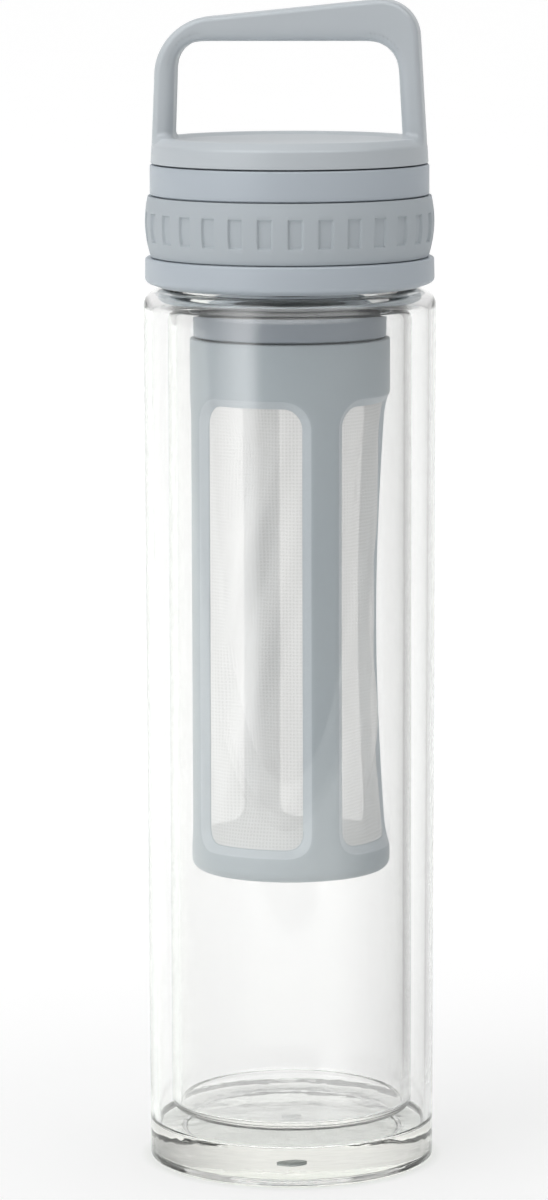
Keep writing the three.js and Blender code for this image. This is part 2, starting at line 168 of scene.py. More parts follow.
# Basket
BASKET_TOP = top_of("basket_frame")
BASKET_BOTTOM = bottom_of("basket_frame")
BASKET_RADIUS = 23.3
BASKET_WALL = 1.9
BASKET_CORNER = 2.5
BASKET_FLOOR = 2
BASKET_FLOOR_BORE = 15
BASKET_RIM_ROUND = 0.4
WINDOWS = 4
QUARTER = 2 * math.pi / WINDOWS
WINDOW_TOP_BAND = 14.8
WINDOW_FOOT_BAND = 7.7
WINDOW_LOW = BASKET_BOTTOM + WINDOW_FOOT_BAND
WINDOW_HIGH = BASKET_TOP - WINDOW_TOP_BAND
WINDOW_CORNER = 4.8
LOWER_CORNER = 2.8
WINDOW_BEVEL = 2.3
WINDOW_BEVEL_DEPTH = 1.62
THIN_FROM = 0.2
PILLAR_WIDTH = 5.7
FIRST_PILLAR = math.radians(23.7)
PILLAR_BOWS = (0.25, 2.35, 0.6, 0.0)
MESH_HEM = 0.9
MESH_INSET = 1.75
MESH_SAG = 2.0
MESH_HELD_SIDE = 0.93
MESH_HELD_END = 0.01
MESH_END_SLOPE = 12
# Each crease of the mesh: its depth, its waves across and up, and its shift from window to window
MESH_CREASES = ((0.8, 4, 9, 1.7), (0.55, -5, 15, 1), (0.4, 8, -21, 2.3))

# Threads: pitch, turns, ridge height, and width at the root and at the crest
LID_THREAD = {"pitch": 4, "turns": 1.25, "height": 1.4, "root": 2, "crest": 1}
BASKET_THREAD = {"pitch": 3, "turns": 1.25, "height": 1, "root": 1.3, "crest": 0.6}
NECK_THREAD_START = 209.26
PLUG_THREAD_START = 226.7
SPIGOT_THREAD_START = 187.4

# Studio, in metres. A pair called a fade says where a change begins and ends
FLOOR_SIZE = 40
FLOOR_NEAR_GLOW = 0.085
FLOOR_GLOW = 0.2
FLOOR_GLOW_FADE = (0.1, 0.45)
FLOOR_MIRRORED_GLOW = 0.1
FOOT_SHADE_FADE = (0.031, 0.036)
TABLE_FRONT = -0.4
DIM_SIDE = (0.94, 0.342, 0.0)
DIM_SIDE_FADE = (0.36, 0.9)
DIM_OUT_FADE = (0.02, 0.12)
ROOM_LIGHT = 0.6
# How bright the room is round about, by the angle in degrees from straight in front towards the right
ROOM_ROUND = (
    (-90, 0.55), (-80, 0.42), (-67, 0.5), (-58, 0.75), (-50, 1.35), (-39, 1.8), (-31.5, 1.8), (-21, 0.22),
    (0, 0.2), (45, 0.34), (75, 0.34), (100, 0.36), (120, 0.41), (140, 0.52), (160, 0.78), (175, 0.97),
    (198, 0.94), (230, 0.7), (270, 0.55),
)
TOP_BOX_GLOW = 5.0
TOP_BOX_LOW_FADE = (0.45, 0.62)
TOP_BOX_HIGH_FADE = (0.8, 0.92)
TOP_BOX_BACK_FADE = (-0.3, 0.0)
KEY_GLOW = 1.3
KEY_SIZE = (2.4, 3.0)
KEY_PLACE = Vector((-1.71, -1.38, 0.6))
KEY_TARGET = Vector((0, 0, 0.13))
TOP_LIGHT = 0.85
TOP_LIGHT_SPREAD = math.radians(70)
# Camera: angles in degrees, lens and places in millimetres
CAMERA_TURN = 4
CAMERA_TILT = 8.2655
CAMERA_ROLL = -0.151
CAMERA_LENS = 148.6
CAMERA_DISTANCE = 1150
CAMERA_ASIDE = -3.86
CAMERA_HEIGHT = 300.03


# Modelling steps

def rounded(corners):
    """Profile points through corners (radius, height, rounding), with an arc where there is a rounding."""
    points = []
    for i, (radius, height, *rounding) in enumerate(corners):
        here = Vector((radius, height))
        if not rounding:
            points.append(here)
            continue
        before = Vector(corners[i - 1][:2])
        after = Vector(corners[(i + 1) % len(corners)][:2])
        into = (here - before).normalized()
        onward = (after - here).normalized()
        turn = math.atan2(into.x * onward.y - into.y * onward.x, into.dot(onward))
        start = here - into * rounding[0] * math.tan(abs(turn) / 2)
        across = Vector((-into.y, into.x)) * math.copysign(rounding[0], turn)
        centre = start + across
        for step in range(ARC_STEPS + 1):
            angle = turn * step / ARC_STEPS
            arm = -across
            out = arm.x * math.cos(angle) - arm.y * math.sin(angle)
            up = arm.x * math.sin(angle) + arm.y * math.cos(angle)
            points.append(centre + Vector((out, up)))
    return points


def deselect():
    bpy.ops.object.select_all(action="DESELECT")


def enter_edit():
    bpy.ops.object.mode_set(mode="EDIT")


def leave_edit():
    bpy.ops.object.mode_set(mode="OBJECT")


def select_whole():
    bpy.ops.mesh.select_all(action="SELECT")


def select_open_edges():
    bpy.ops.mesh.select_all(action="DESELECT")
    bpy.ops.mesh.select_non_manifold()


def cut_across(normal, place):
    """In edit mode, cuts the whole mesh through at a place along an axis."""
    select_whole()
    bpy.ops.mesh.bisect(plane_co=[place * MM * share for share in normal], plane_no=normal)


def settle(name, crease=35):
    """Names the piece just modelled, puts its place in its mesh and shades it soft.

    Edges past the crease angle stay crisp.
    """
    piece = bpy.context.object
    piece.name = name
    piece.data.name = name
    bpy.ops.object.transform_apply()
    bpy.ops.object.shade_smooth_by_angle(angle=math.radians(crease))
    return piece


def face_outwards(inside=False):
    """In edit mode, turns every face of the piece outwards, or inwards for a hollow."""
    select_whole()
    bpy.ops.mesh.normals_make_consistent(inside=inside)


def extrude_to(radius, height, next_radius, next_height):
    """In edit mode, extrudes the selected circle and scales it to the next point of a profile."""
    rise = (next_height - height) * MM
    bpy.ops.mesh.extrude_region_move(TRANSFORM_OT_translate={"value": (0, 0, rise)})
    grow = next_radius / radius
    bpy.ops.transform.resize(value=(grow, grow, 1), center_override=(0, 0, 0))


def turned(name, corners, sides=ROUND_SIDES, hollow=False):
    """A piece turned round the flask's axis, from a circle at the profile's first point.

    A profile that starts on the axis is closed by a disc at each end. Any other is bridged into a ring.
    """
    profile = rounded(corners)
    solid = profile[0].x == 0
    if solid:
        profile = profile[1:-1]
    deselect()
    bpy.ops.mesh.primitive_circle_add(
        vertices=sides,
        radius=profile[0].x * MM,
        fill_type="NGON" if solid else "NOTHING",
        location=(0, 0, profile[0].y * MM),
    )
    enter_edit()
    bpy.ops.mesh.select_mode(type="VERT")
    for here, there in zip(profile, profile[1:]):
        extrude_to(here.x, here.y, there.x, there.y)
    if not solid:
        select_open_edges()
        bpy.ops.mesh.bridge_edge_loops()
    face_outwards(hollow)
    leave_edit()
    return settle(name)


def apply_modifier(piece, kind, **settings):
    """Adds a modifier with its settings and applies it."""
    deselect()
    piece.select_set(True)
    bpy.context.view_layer.objects.active = piece
    modifier = piece.modifiers.new(kind.lower(), kind)
    for key, value in settings.items():
        setattr(modifier, key, value)
    bpy.ops.object.modifier_apply(modifier=modifier.name)


def join(piece, *others):
    """Joins other meshes into a piece, which keeps its name."""
    deselect()
    for part in (piece, *others):
        part.select_set(True)
    bpy.context.view_layer.objects.active = piece
    bpy.ops.object.join()
    return piece


def unite(piece, other):
    """Melts another closed mesh into a piece, with no wall left between them."""
    apply_modifier(piece, "BOOLEAN", operation="UNION", solver="EXACT", object=other)
    bpy.data.objects.remove(other)
    return piece


def pick(kind, test):
    """In edit mode, selects the vertices, edges or faces that pass a test.

    The test is given the middle of each in millimetres, and the vertex, edge or face itself.
    """
    bpy.ops.mesh.select_mode(type=kind)
    bpy.ops.mesh.select_all(action="DESELECT")
    mesh = bpy.context.object.data
    cage = bmesh.from_edit_mesh(mesh)
    for part in {"VERT": cage.verts, "EDGE": cage.edges, "FACE": cage.faces}[kind]:
        corners = [part.co] if kind == "VERT" else [vertex.co for vertex in part.verts]
        middle = sum(corners, Vector()) / len(corners) / MM
        part.select_set(test(middle, part))
    cage.select_flush_mode()
    bmesh.update_edit_mesh(mesh)


def move(x=0, y=0, z=0):
    """In edit mode, moves what is selected."""
    bpy.ops.transform.translate(value=(x * MM, y * MM, z * MM))


def thread_ridge(name, thread, wall, side, start):
    """A right-hand thread's ridge on a shaft (side 1) or in a bore (side -1).

    It is rooted in the wall and low at both ends.
    """
    root_depth = 0.4
    steps = 60
    lead_steps = 5
    low_end = 0.2
    reach = thread["height"] + root_depth
    middle = wall + side * (thread["height"] - root_depth) / 2
    deselect()
    bpy.ops.mesh.primitive_plane_add(
        size=MM,
        location=(middle * MM, 0, start * MM),
        rotation=(math.pi / 2, 0, 0),
    )
    bpy.context.object.scale = (reach, thread["root"], 1)
    bpy.ops.object.transform_apply()
    enter_edit()
    pick("VERT", lambda at, _: (at.x - middle) * side > 0)
    slim = thread["crest"] / thread["root"]
    bpy.ops.transform.resize(value=(1, 1, slim), center_override=(0, 0, start * MM))
    leave_edit()
    ridge = bpy.context.object
    turn = 2 * math.pi * thread["turns"]
    rise = thread["pitch"] * thread["turns"] * MM
    apply_modifier(
        ridge, "SCREW", angle=turn, screw_offset=rise, steps=steps, render_steps=steps, use_smooth_shade=False
    )
    enter_edit()
    select_open_edges()
    bpy.ops.mesh.fill_holes(sides=4)
    face_outwards()
    leave_edit()
    for index, vertex in enumerate(ridge.data.vertices):
        step = index // 4
        lead = min(1, low_end + min(step, steps - step) / lead_steps)
        distance = vertex.co.xy.length / MM
        height = (distance - wall) * side
        if height > 0:
            vertex.co.xy *= (wall + side * height * lead) / distance
    return settle(name)


def to_linear(hex_colour):
    """A colour written as sRGB hex, as the linear values that a shader takes."""
    channels = [int(hex_colour[i : i + 2], 16) / 255 for i in (1, 3, 5)]
    return [c / 12.92 if c <= 0.04045 else ((c + 0.055) / 1.055) ** 2.4 for c in channels] + [1]


def add_node(tree, kind, inputs=(), **settings):
    """Adds a node with its settings, and gives each named input a value or the socket that feeds it."""
    made = tree.nodes.new("ShaderNode" + kind)
    for key, value in settings.items():
        setattr(made, key, value)
    for key, value in dict(inputs).items():
        if isinstance(value, bpy.types.NodeSocket):
            tree.links.new(value, made.inputs[key])
        else:
            made.inputs[key].default_value = value
    return made


def new_material(name):
    material = bpy.data.materials.new(name)
    material.use_nodes = True
    material.node_tree.nodes.clear()
    return material, material.node_tree


# Materials

def blown_glass():
    """Borosilicate glass, blown and fire-polished: clear, faintly olive where thick, rippled in its foot."""
    material, tree = new_material("blown_borosilicate_glass")
    wave_size = 22 * MM
    ripple_size = 5 * MM
    # How much stronger the foot's ripples are than the waves in the walls
    ripple_share = 9.0
    place = add_node(tree, "TexCoord")
    waves = add_node(
        tree, "TexNoise", {"Vector": place.outputs["Object"], "Scale": 1 / wave_size, "Detail": 1.0}
    )
    ripples = add_node(
        tree, "TexNoise", {"Vector": place.outputs["Object"], "Scale": 1 / ripple_size, "Detail": 1.0}
    )
    axes = add_node(tree, "SeparateXYZ", {0: place.outputs["Object"]})
    at_foot = add_node(
        tree,
        "MapRange",
        {
            "Value": axes.outputs["Z"],
            "From Min": FOOT_THICKNESS * MM,
            "From Max": (LINER_BOTTOM + LINER_FLOOR) * MM,
            "To Min": ripple_share,
            "To Max": 0.0,
        },
    )
    relief = add_node(
        tree,
        "Math",
        {0: ripples.outputs[0], 1: at_foot.outputs[0], 2: waves.outputs[0]},
        operation="MULTIPLY_ADD",
    )
    bump = add_node(tree, "Bump", {"Height": relief.outputs[0], "Strength": 0.03, "Distance": 0.4 * MM})
    glass = add_node(
        tree,
        "BsdfPrincipled",
        {
            "Base Color": to_linear("#FFFFFF"),
            "Roughness": 0.0,
            "IOR": 1.47,
            "Transmission Weight": 1.0,
            "Normal": bump.outputs[0],
        },
    )
    clear = add_node(tree, "BsdfTransparent", {"Color": to_linear("#FEFEFE")})
    path = add_node(tree, "LightPath")
    passing = add_node(
        tree,
        "Math",
        {0: path.outputs["Is Shadow Ray"], 1: path.outputs["Is Diffuse Ray"]},
        operation="MAXIMUM",
    )
    both = add_node(
        tree, "MixShader", {0: passing.outputs[0], 1: glass.outputs[0], 2: clear.outputs[0]}
    )
    tint = add_node(tree, "VolumeAbsorption", {"Color": to_linear("#E0E0D3"), "Density": 8.5})
    add_node(tree, "OutputMaterial", {"Surface": both.outputs[0], "Volume": tint.outputs[0]})
    return material


def moulded_skin(name, colour, cloud_colour, roughness, grain, grain_depth, seen_into=0.0):
    """A moulded skin: an even satin with a fine tool grain, and faint clouds where the melt flowed."""
    material, tree = new_material(name)
    cloud_size = 30 * MM
    uneven = 0.05
    place = add_node(tree, "TexCoord")
    clouds = add_node(
        tree, "TexNoise", {"Vector": place.outputs["Object"], "Scale": 1 / cloud_size, "Detail": 2.0}
    )
    skin = add_node(
        tree, "TexNoise", {"Vector": place.outputs["Object"], "Scale": 1 / (grain * MM), "Detail": 2.0}
    )
    tone = add_node(
        tree,
        "Mix",
        {0: clouds.outputs[0], 6: to_linear(colour), 7: to_linear(cloud_colour)},
        data_type="RGBA",
    )
    sheen = add_node(
        tree,
        "MapRange",
        {"Value": skin.outputs[0], "To Min": roughness - uneven, "To Max": roughness + uneven},
    )
    bump = add_node(
        tree, "Bump", {"Height": skin.outputs[0], "Strength": 0.5, "Distance": grain_depth * MM}
    )
    plastic = add_node(
        tree,
        "BsdfPrincipled",
        {
            "Base Color": tone.outputs[2],
            "Roughness": sheen.outputs[0],
            "IOR": 1.49,
            "Subsurface Weight": seen_into,
            "Subsurface Radius": (1.0, 1.0, 1.0),
            "Subsurface Scale": 1.5 * MM,
            "Normal": bump.outputs[0],
        },
    )
    add_node(tree, "OutputMaterial", {"Surface": plastic.outputs[0]})
    return material


def woven_nylon():
    """Nylon thread woven into a fine open mesh: white, satin and half see-through.

    The real threads are about 0.2 mm apart, too fine to show, so they are drawn 0.8 mm apart.
    """
    material, tree = new_material("woven_nylon_mesh")
    pitch = 0.8
    # A wave's bands are a twentieth of a full turn apart at scale 1
    bands = math.pi / 10 / pitch
    cloth = add_node(tree, "TexCoord")
    warp = add_node(
        tree, "TexWave", {"Vector": cloth.outputs["UV"], "Scale": bands}, bands_direction="X"
    )
    weft = add_node(
        tree, "TexWave", {"Vector": cloth.outputs["UV"], "Scale": bands}, bands_direction="Y"
    )
    thread = add_node(
        tree, "Math", {0: warp.outputs["Fac"], 1: weft.outputs["Fac"]}, operation="MAXIMUM"
    )
    cover = add_node(tree, "MapRange", {"Value": thread.outputs[0], "To Min": 0.56, "To Max": 0.63})
    tone = add_node(
        tree,
        "Mix",
        {0: thread.outputs[0], 6: to_linear("#F8F8F6"), 7: to_linear("#FDFDFC")},
        data_type="RGBA",
    )
    bump = add_node(tree, "Bump", {"Height": thread.outputs[0], "Strength": 0.2, "Distance": 0.1 * MM})
    nylon = add_node(
        tree,
        "BsdfPrincipled",
        {
            "Base Color": tone.outputs[2],
            "Roughness": 0.6,
            "IOR": 1.4,
            "Alpha": cover.outputs[0],
            "Normal": bump.outputs[0],
        },
    )
    add_node(tree, "OutputMaterial", {"Surface": nylon.outputs[0]})
    return material


# Pieces

def blow_flask():
    """Outer wall and liner, fused at the shoulder round a closed space, with a thread and a thick foot."""
    seat = PORT_SEAL_RADIUS - SEAL_BITE
    seat_top = top_of("port_seal_disc") - SEAL_BITE
    liner_inside = LINER_RADIUS - GLASS_WALL
    neck_bore = NECK_RADIUS - NECK_WALL
    neck_foot = SHOULDER_TOP - GLASS_WALL
    flask = turned(
        "double_walled_glass",
        [
            (0, seat_top),
            (seat, seat_top),
            (seat, FOOT_HOLLOW),
            (GLASS_RADIUS - FOOT_RING_WIDTH - FOOT_HOLLOW, FOOT_HOLLOW, 1.5),
            (GLASS_RADIUS - FOOT_RING_WIDTH, 0, 0.6),
            (GLASS_RADIUS - GLASS_TAPER, 0, FOOT_CORNER),
            (GLASS_RADIUS, SHOULDER_TOP - SHOULDER_DROP, SHOULDER_CORNER),
            (NECK_RADIUS, SHOULDER_TOP + SHOULDER_RISE, 1),
            (NECK_RADIUS, RIM_TOP, 0.9),
            (neck_bore, RIM_TOP, 0.9),
            (neck_bore, neck_foot, 8),
            (liner_inside, neck_foot - NECK_TAPER, 8),
            (liner_inside, LINER_BOTTOM + LINER_FLOOR, LINER_CORNER - GLASS_WALL),
            (0, LINER_BOTTOM + LINER_FLOOR),
        ],
        GLASS_SIDES,
    )
    unite(flask, thread_ridge("neck_thread", LID_THREAD, NECK_RADIUS, 1, NECK_THREAD_START))
    hollow = turned(
        "space_between_walls",
        [
            (0, FOOT_THICKNESS),
            (GLASS_RADIUS - GLASS_TAPER - GLASS_WALL, FOOT_THICKNESS, FOOT_TOP_CORNER),
            (GLASS_RADIUS - GLASS_WALL, neck_foot - SHOULDER_DROP, HOLLOW_CORNER),
            (NECK_RADIUS + 0.1, neck_foot + SHOULDER_RISE, 0.8),
            (LINER_RADIUS, neck_foot - NECK_TAPER, 8),
            (LINER_RADIUS, LINER_BOTTOM, LINER_CORNER),
            (0, LINER_BOTTOM),
        ],
        GLASS_SIDES,
        hollow=True,
    )
    return join(flask, hollow)


def mould_port_seal():
    """The small domed plug of sealant under the foot."""
    low = bottom_of("port_seal_disc")
    high = top_of("port_seal_disc")
    return turned(
        "port_seal",
        [(0, low), (PORT_SEAL_RADIUS, low, 0.25), (PORT_SEAL_RADIUS, high, 0.2), (0, high)],
        sides=48,
    )


def mould_collar():
    """The screw collar: lower ring, groove for the grip, top ring, and a web with a thread on each side."""
    groove_low = COLLAR_BOTTOM + LOWER_RING_HEIGHT
    groove_high = COLLAR_TOP - TOP_RING_HEIGHT
    collar = turned(
        "screw_collar",
        [
            (SKIRT_BORE, COLLAR_BOTTOM + SKIRT_LIFT, 0.4),
            (LOWER_RING_FOOT_RADIUS - UNDERCUT_WIDTH, COLLAR_BOTTOM + SKIRT_LIFT),
            (LOWER_RING_FOOT_RADIUS, COLLAR_BOTTOM + UNDERCUT_HEIGHT, 1.4),
            (LOWER_RING_TOP_RADIUS, groove_low, 0.5),
            (GRIP_SEAT, groove_low),
            (GRIP_SEAT, groove_high),
            (COLLAR_RADIUS, groove_high, 0.35),
            (COLLAR_RADIUS, COLLAR_TOP + CAP_CLOSE_UP, 0.45),
            (WELL_RADIUS, COLLAR_TOP + CAP_CLOSE_UP, 0.4),
            (WELL_RADIUS, WEB_TOP, 0.5),
            (WEB_BORE, WEB_TOP, 0.3),
            (WEB_BORE, WEB_LOW, 0.3),
            (SKIRT_BORE, WEB_LOW, 0.5),
        ],
        GLASS_SIDES,
    )
    half_pitch = LID_THREAD["pitch"] / 2
    skirt_thread = thread_ridge("skirt_thread", LID_THREAD, SKIRT_BORE, -1, NECK_THREAD_START + half_pitch)
    well_thread = thread_ridge("well_thread", LID_THREAD, WELL_RADIUS, -1, PLUG_THREAD_START + half_pitch)
    return join(collar, skirt_thread, well_thread)


def mould_grip():
    """The soft grip: a band that bulges in the middle, with a row of shallow pads pressed into it."""
    low = bottom_of("grip_band")
    high = top_of("grip_band")
    middle = (low + high) / 2
    half = (high - low) / 2
    bore = GRIP_SEAT + FIT_GAP
    pad_edge = GRIP_PAD_HEIGHT / 2 / half
    outside = []
    upper = (0.25 * pad_edge, 0.5 * pad_edge, 0.75 * pad_edge, pad_edge, *GRIP_EDGE_SHARES)
    for share in (*(-share for share in reversed(upper)), 0, *upper):
        edge = GRIP_EDGE_RADIUS - GRIP_EDGE_TAPER * share
        outside.append((edge + GRIP_BULGE * (1 - share**2), middle + half * share))
    profile = [(bore, low), (GRIP_EDGE_RADIUS + GRIP_EDGE_TAPER, low), *outside]
    profile += [(GRIP_EDGE_RADIUS - GRIP_EDGE_TAPER, high), (bore, high)]
    turned("soft_grip", profile, GRIP_PAD_SIDES * GRIP_PADS)
    outer_side = bore + 0.5
    step = 2 * math.pi / GRIP_PADS

    def on_pad(at, _):
        round_about = (math.atan2(at.x, -at.y) - GRIP_PAD_PHASE + step / 2) % step - step / 2
        level = abs(at.z - middle) < GRIP_PAD_HEIGHT / 2
        return at.xy.length > outer_side and level and abs(round_about) < step / 4

    enter_edit()
    pick("FACE", on_pad)
    for width, depth in GRIP_PAD_STEPS:
        bpy.ops.mesh.inset(thickness=width * MM, depth=depth * MM)
    leave_edit()
    return settle("soft_grip", 50)


def mould_holder():
    """The filter holder: a lip that hangs in the collar, a waisted sleeve, a flange and a threaded spigot."""
    flange_low = HOLDER_BOTTOM + SPIGOT_LENGTH
    flange_high = flange_low + FLANGE_HEIGHT
    waist = FLANGE_RADIUS - SLEEVE_RADIUS
    holder = turned(
        "filter_holder_ring",
        [
            (HOLDER_BORE, HOLDER_BOTTOM, 0.4),
            (SPIGOT_RADIUS, HOLDER_BOTTOM, 0.4),
            (SPIGOT_RADIUS, flange_low, 0.3),
            (FLANGE_RADIUS, flange_low, 0.5),
            (FLANGE_RADIUS, flange_high, 0.7),
            (SLEEVE_RADIUS, flange_high + waist, 0.7),
            (SLEEVE_RADIUS, WEB_LOW - FIT_GAP - waist, 0.7),
            (FLANGE_RADIUS, WEB_LOW - FIT_GAP, 0.3),
            (FLANGE_RADIUS, WEB_TOP),
            (HOLDER_LIP_RADIUS, WEB_TOP, 0.2),
            (HOLDER_LIP_RADIUS, HOLDER_TOP, 0.4),
            (HOLDER_BORE, HOLDER_TOP, 0.4),
        ],
    )
    return join(holder, thread_ridge("spigot_thread", BASKET_THREAD, SPIGOT_RADIUS, 1, SPIGOT_THREAD_START))


def tapered_block(name, foot, half_foot, left_top, right_top, depth):
    """A block across the cap that leans in to its top, whose two ends have a reach and a height each."""
    height = left_top[1] - foot
    deselect()
    bpy.ops.mesh.primitive_cube_add(size=MM, location=(0, 0, (foot + height / 2) * MM))
    bpy.context.object.scale = (2 * half_foot, depth, height)
    settle(name)
    enter_edit()
    middle = foot + height / 2
    pick("VERT", lambda at, _: at.z > middle and at.x < 0)
    move(x=half_foot - left_top[0])
    pick("VERT", lambda at, _: at.z > middle and at.x > 0)
    move(x=right_top[0] - half_foot, z=right_top[1] - left_top[1])
    return bpy.context.object


def bevel_edges(test, offset, segments):
    """In edit mode, rounds the edges that pass a test."""
    pick("EDGE", test)
    bpy.ops.mesh.bevel(offset=offset * MM, offset_type="OFFSET", segments=segments, affect="EDGES")


def cap_surface(radius):
    """How high the cap's upper side is at a distance from its axis."""
    top = CAP_BOTTOM + CAP_HEIGHT
    chamfer_start = CAP_RADIUS - CAP_CHAMFER
    if radius > chamfer_start:
        slope = (CAP_HEIGHT - CAP_EDGE_HEIGHT) / (CAP_CHAMFER - CAP_DRAFT)
        return top - slope * (radius - chamfer_start)
    return top - min(DISH_DEPTH, max(0, (DISH_RADIUS - radius) / 2))


def mould_handle():
    """The carry handle: two flat legs with flared feet, and a bar that grows thicker to the right."""
    foot = CAP_BOTTOM + CAP_EDGE_HEIGHT - CAP_CHAMFER
    under = CAP_BOTTOM + CAP_HEIGHT + HANDLE_OPENING
    half_depth = HANDLE_DEPTH / 2
    thin_inside = THIN_TOP_RADIUS - LEG_THICKNESS
    thick_inside = THICK_TOP_RADIUS - LEG_THICKNESS
    handle = tapered_block(
        "handle",
        foot,
        HANDLE_FOOT_RADIUS,
        (THIN_TOP_RADIUS, under + BAR_THIN),
        (THICK_TOP_RADIUS, under + BAR_THICK),
        HANDLE_DEPTH,
    )

    def across(at, above):
        """Whether an edge runs from front to back above a height."""
        return abs(at.y) < 1 and at.z > above

    bevel_edges(lambda at, _: across(at, under) and at.x < -thin_inside, THIN_CORNER, segments=18)
    bar_top = under + BAR_THIN + 1
    bevel_edges(lambda at, _: across(at, bar_top) and at.x > thick_inside, THICK_CORNER, segments=16)
    leave_edit()
    drop = 10
    opening = tapered_block(
        "handle_opening",
        foot - drop,
        HANDLE_FOOT_RADIUS - LEG_THICKNESS,
        (thin_inside, under),
        (thick_inside, under),
        2 * HANDLE_DEPTH,
    )
    aside = thick_inside / 2
    bevel_edges(lambda at, _: across(at, under - 1) and at.x < -aside, THIN_INNER_CORNER, segments=12)
    bevel_edges(lambda at, _: across(at, under - 1) and at.x > aside, THICK_INNER_CORNER, segments=12)
    leave_edit()
    apply_modifier(handle, "BOOLEAN", operation="DIFFERENCE", solver="EXACT", object=opening)
    bpy.data.objects.remove(opening)
    enter_edit()

    def inside(at):
        """Whether an edge lies round the opening, with some room for the different lean of the two legs."""
        room = 1.2
        lean = (at.z - foot) / (under - foot) * (HANDLE_FOOT_RADIUS - THICK_TOP_RADIUS)
        return at.z < under + 0.1 and abs(at.x) < HANDLE_FOOT_RADIUS - LEG_THICKNESS - lean + room

    def rim(at, edge):
        """Whether an edge lies in the front or the back of the handle, above its foot."""
        depths = [abs(vertex.co.y / MM) for vertex in edge.verts]
        return at.z > foot + 0.1 and all(abs(depth - half_depth) < 0.01 for depth in depths)

    bevel_edges(lambda at, edge: rim(at, edge) and inside(at), HANDLE_INNER_ROUND, segments=7)
    bevel_edges(
        lambda at, edge: rim(at, edge) and len({abs(face.normal.y) > 0.9 for face in edge.link_faces}) == 2,
        HANDLE_OUTER_ROUND,
        segments=5,
    )
    # Cuts that let the feet of the legs bend into their flare
    lowest_cut = CAP_BOTTOM + CAP_EDGE_HEIGHT - 0.6
    cut_spacing = 0.25
    for step in range(18):
        cut_across((0, 0, 1), lowest_cut + cut_spacing * step)
    for y in (-5, -3.5, -2, 0, 2, 3.5, 5):
        cut_across((0, 1, 0), y)
    leave_edit()
    leg_middle = HANDLE_FOOT_RADIUS - LEG_THICKNESS / 2
    for vertex in handle.data.vertices:
        at = vertex.co / MM
        flare = 0
        # The flare follows the cap's surface, whose height it changes, so it is found in a few passes
        for _ in range(5):
            spread = flare * HANDLE_FILLET_SPREAD * at.y / half_depth
            inwards = math.copysign(flare, at.x) if abs(at.x) < leg_middle else 0
            y = at.y + spread
            x = (at.x - inwards) * math.sqrt(1 - (y / HANDLE_FOOT_RADIUS) ** 2)
            lift = (at.z - cap_surface(math.hypot(x, y))) / HANDLE_FILLET
            flare = HANDLE_FILLET * (1 - math.sqrt(1 - (1 - min(1, max(0, lift))) ** 2))
        vertex.co = Vector((x, y, at.z)) * MM
    return handle


def mould_cap():
    """The cap: a shallow disc with a chamfered edge and a dished top, and the handle melted into it."""
    low = CAP_BOTTOM - CAP_CLOSE_UP
    top = CAP_BOTTOM + CAP_HEIGHT
    recess = PLUG_SPIGOT_RADIUS + FIT_GAP
    recess_top = CAP_BOTTOM + PLUG_SPIGOT_HEIGHT + FIT_GAP
    handle = mould_handle()
    cap = turned(
        "carry_cap",
        [
            (0, recess_top),
            (recess, recess_top),
            (recess, low, 0.3),
            (CAP_RADIUS, low, 0.25),
            (CAP_RADIUS - CAP_DRAFT, CAP_BOTTOM + CAP_EDGE_HEIGHT, 1.3),
            (CAP_RADIUS - CAP_CHAMFER, top, 0.9),
            (DISH_RADIUS, top, 0.6),
            (DISH_RADIUS - 2 * DISH_DEPTH, top - DISH_DEPTH, 1),
            (0, top - DISH_DEPTH),
        ],
        GLASS_SIDES,
    )
    unite(cap, handle)
    return settle("carry_cap")


def mould_plug():
    """The threaded stopper under the cap, hollow from above."""
    plug = turned(
        "screw_plug",
        [
            (0, PLUG_BOTTOM),
            (PLUG_RADIUS, PLUG_BOTTOM, 0.5),
            (PLUG_RADIUS, CAP_BOTTOM, 0.2),
            (PLUG_SPIGOT_RADIUS, CAP_BOTTOM, 0.2),
            (PLUG_SPIGOT_RADIUS, CAP_BOTTOM + PLUG_SPIGOT_HEIGHT, 0.3),
            (PLUG_SPIGOT_RADIUS - PLUG_WALL, CAP_BOTTOM + PLUG_SPIGOT_HEIGHT, 0.3),
            (PLUG_SPIGOT_RADIUS - PLUG_WALL, PLUG_BOTTOM + PLUG_WALL, 0.5),
            (0, PLUG_BOTTOM + PLUG_WALL),
        ],
    )
    return join(plug, thread_ridge("plug_thread", LID_THREAD, PLUG_RADIUS, 1, PLUG_THREAD_START))


def bow_inwards(piece):
    """Bows the basket's pillars, and the mesh beside them, in between the basket's top band and its cup."""
    for vertex in piece.data.vertices:
        at = vertex.co / MM
        share = (at.z - WINDOW_LOW) / (WINDOW_HIGH - WINDOW_LOW)
        if not 0 < share < 1:
            continue
        angle = math.atan2(at.x, -at.y) - FIRST_PILLAR
        nearest = round(angle / QUARTER)
        beside = math.cos(math.pi / QUARTER * (angle - nearest * QUARTER))
        bow = PILLAR_BOWS[nearest % WINDOWS] * beside * math.sin(math.pi * share)
        distance = at.xy.length
        at.xy *= (distance - bow) / distance
        vertex.co = at * MM


def roll_up(piece, radius, angle, turn):
    """Rolls a flat upright piece round the basket's axis, and turns it to its place."""
    apply_modifier(piece, "SIMPLE_DEFORM", deform_method="BEND", deform_axis="Z", angle=angle)
    piece.location.y = -radius * MM
    bpy.ops.object.transform_apply()
    piece.rotation_euler.z = turn
    bpy.ops.object.transform_apply()


